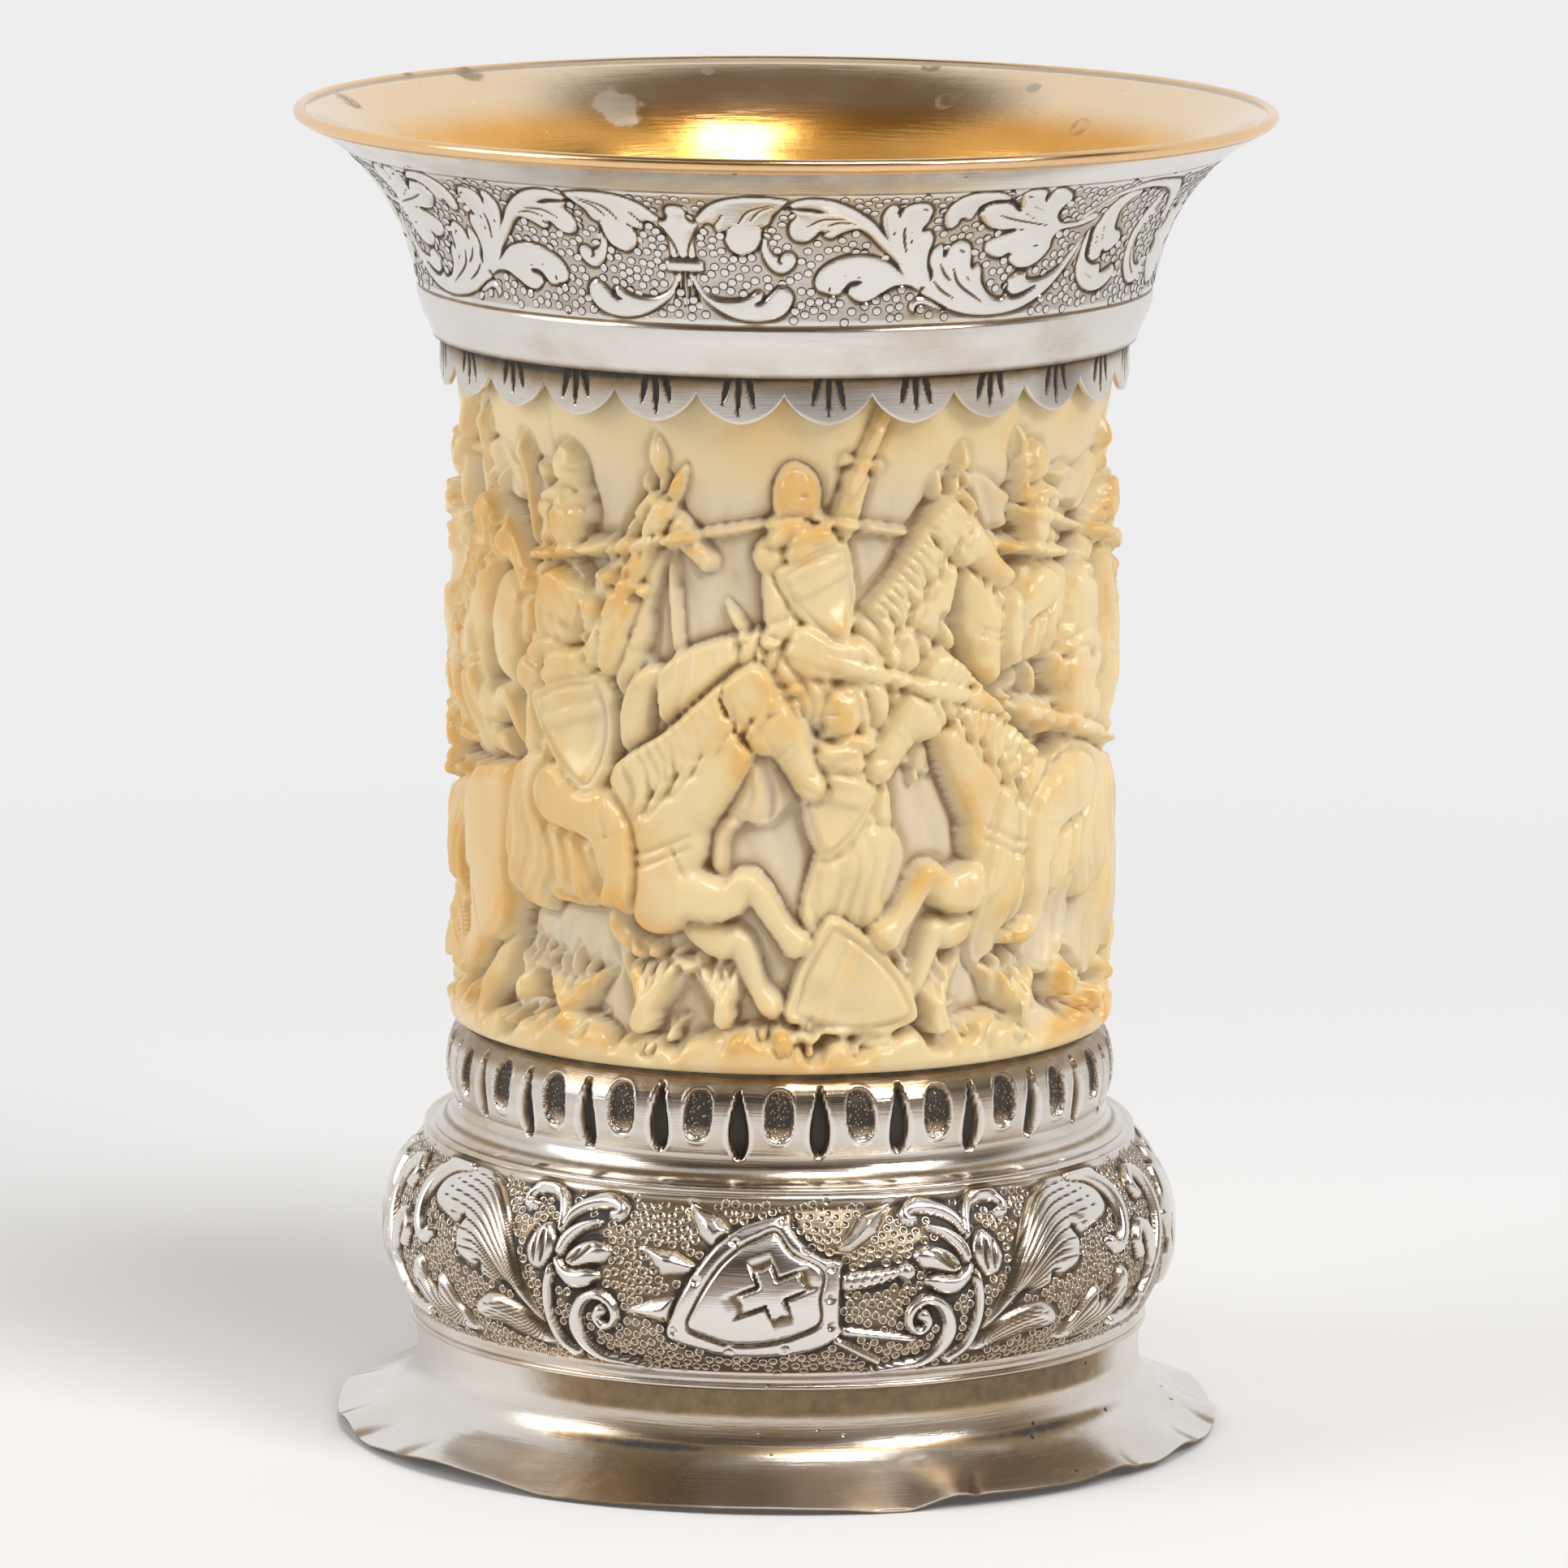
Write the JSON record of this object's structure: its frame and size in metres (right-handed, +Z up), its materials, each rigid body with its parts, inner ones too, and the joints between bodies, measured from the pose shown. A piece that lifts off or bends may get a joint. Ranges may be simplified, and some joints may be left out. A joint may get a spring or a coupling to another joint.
{
  "type": "beaker",
  "caption": "Footed drinking beaker: a carved ivory sleeve clamped between a flared, gilt-lined silver mouth with a scalloped lower edge and an embossed silver base with a wavy flange.",
  "frame": {"origin": "on the table, under the axis of the cup", "axes": "+Z up along the axis towards the mouth; -Y is the front, the side with the shield on the base"},
  "size_m": [0.0946, 0.0946, 0.1286],
  "materials": {
    "silver": "worn polished silver with dark tarnish in its recesses",
    "silver_gilt": "polished gilding, worn through in places",
    "ivory": "polished carved ivory with brown stain in its recesses"
  },
  "bodies": {
    "root": {"lip_wire": "silver_gilt", "rim_mount": "silver", "scalloped_band": "silver", "gilt_liner": "silver_gilt", "bearing_ring": "silver", "ivory_sleeve": "ivory", "deck_plate": "silver", "gadrooned_collar": "silver", "upper_fillet_wire": "silver", "embossed_drum": "silver", "lower_fillet_wire": "silver", "foot_flange": "silver", "stud_plate": "silver", "draw_stud": "silver", "clamp_washer": "silver", "clamp_nut": "silver"}
  },
  "joints": []
}
